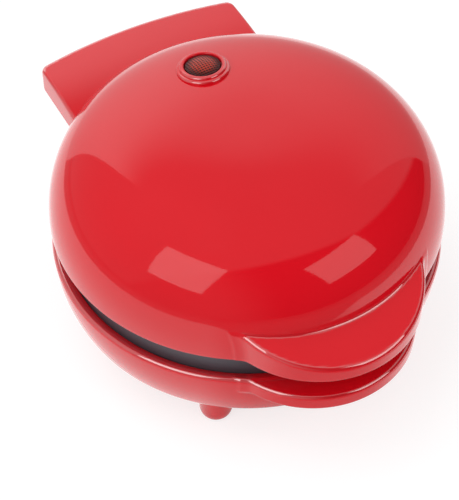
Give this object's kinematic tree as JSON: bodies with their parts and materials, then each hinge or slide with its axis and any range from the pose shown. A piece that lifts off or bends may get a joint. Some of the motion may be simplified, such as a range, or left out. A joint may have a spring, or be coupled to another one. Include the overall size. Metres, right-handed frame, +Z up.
{
  "type": "waffle maker",
  "caption": "Small round waffle maker with a domed hinged lid, visor handle, indicator lamp and heart-shaped waffle plates in a bowl-shaped base on feet.",
  "frame": {"origin": "middle of the bounding box in plan, on the surface the feet stand on", "axes": "+Z up, +Y from the visor handle to the hinge, +X to the right seen from the handle"},
  "size_m": [0.1524, 0.1924, 0.0985],
  "materials": {
    "red_gloss": "high-gloss moulded red plastic",
    "dark_ring": "satin dark grey heat-resistant plastic",
    "nonstick_plate": "cast aluminium with a dark non-stick coating",
    "element_steel": "heat-dulled steel sheath",
    "terminal_steel": "plated terminal pin in a ceramic seal",
    "shield_steel": "bright aluminised sheet",
    "screw_steel": "zinc-plated steel",
    "pin_steel": "ground steel",
    "thermostat_body": "moulded phenolic",
    "fuse_sleeve": "woven glass-fibre sleeve",
    "block_ceramic": "glazed ceramic",
    "terminal_brass": "turned brass",
    "gland_black": "black nylon",
    "lead_sleeving": "pale silicone sleeving",
    "lens_red": "dark red translucent lens",
    "lamp_glass": "clear glass lamp",
    "resistor_tan": "tan coated resistor",
    "foot_rubber": "soft dark rubber"
  },
  "bodies": {
    "base": {"base_housing": "red_gloss", "foot_pads": "foot_rubber", "base_plate_ring": "dark_ring", "lower_plate": "nonstick_plate", "lower_heating_element": "element_steel", "lower_element_terminals": "terminal_steel", "lower_element_clamp": "shield_steel", "lower_heat_shield": "shield_steel", "lower_clamp_screw": "screw_steel", "lower_plate_screws": "screw_steel", "base_ring_screws": "screw_steel", "thermostat": "thermostat_body", "thermostat_bracket": "shield_steel", "thermostat_screws": "screw_steel", "thermal_fuse": "fuse_sleeve", "fuse_clip": "shield_steel", "fuse_clip_screw": "screw_steel", "terminal_block": "block_ceramic", "terminal_screws": "terminal_brass", "cord_gland": "gland_black", "base_leads": "lead_sleeving", "hinge_sleeve": "lead_sleeving", "hinge_pins": "pin_steel"},
    "lid": {"lid_cover": "red_gloss", "lid_plate_ring": "dark_ring", "upper_plate": "nonstick_plate", "upper_heating_element": "element_steel", "upper_element_terminals": "terminal_steel", "upper_element_clamp": "shield_steel", "upper_heat_shield": "shield_steel", "upper_clamp_screw": "screw_steel", "upper_plate_screws": "screw_steel", "lid_ring_screws": "screw_steel", "lid_lead": "lead_sleeving", "lamp_lens": "lens_red", "lamp_holder": "gland_black", "neon_lamp": "lamp_glass", "lamp_resistor": "resistor_tan"}
  },
  "joints": [
    {"name": "lid_hinge", "type": "hinge", "parent": "base", "child": "lid", "pos_m": [0, 0.07975, 0.052], "axis": [-1, 0, 0], "range_deg": [0, 95]}
  ]
}
